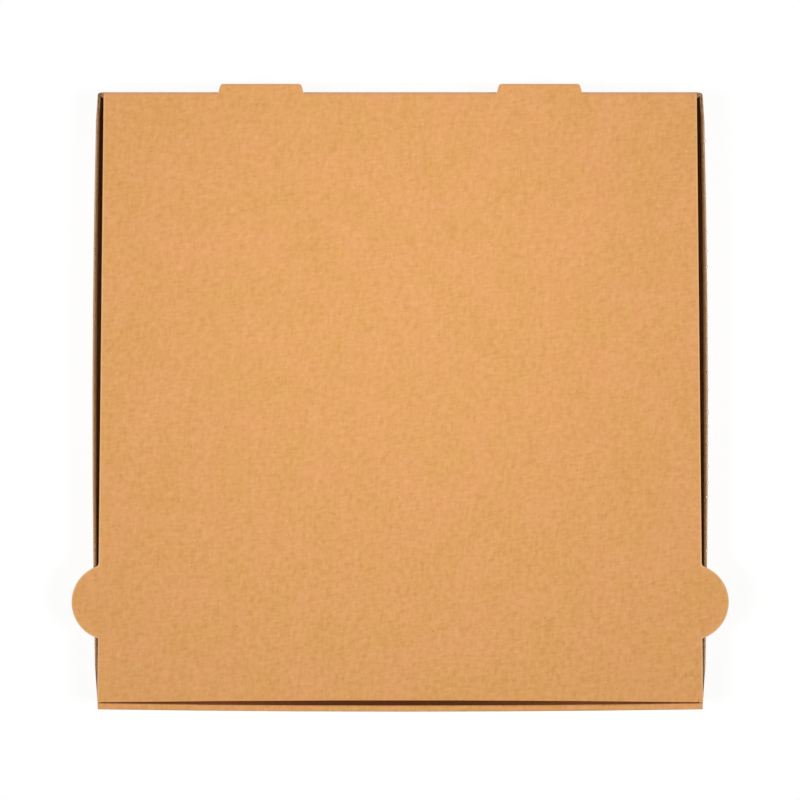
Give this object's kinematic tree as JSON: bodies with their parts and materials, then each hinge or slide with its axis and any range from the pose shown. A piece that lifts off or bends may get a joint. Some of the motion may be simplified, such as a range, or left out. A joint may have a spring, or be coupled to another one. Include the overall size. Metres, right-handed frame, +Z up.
{
  "type": "pizza box",
  "caption": "Flat square folding box of plain brown corrugated board with a hinged lid, round side finger tabs and a roll-over front wall.",
  "frame": {"origin": "middle of the bottom panel's underside", "axes": "+Z up, front edge at -Y, the lid's hinge along X at the rear"},
  "size_m": [0.3616, 0.3456, 0.043],
  "materials": {
    "kraft_board": "matte uncoated kraft paper faces on E-flute board"
  },
  "bodies": {
    "tray": {"tray": "kraft_board"},
    "lid": {"lid": "kraft_board"}
  },
  "joints": [
    {"name": "lid_hinge", "type": "hinge", "parent": "tray", "child": "lid", "pos_m": [0, 0.16905, 0.04225], "axis": [-1, 0, 0], "range_deg": [0, 180]}
  ]
}
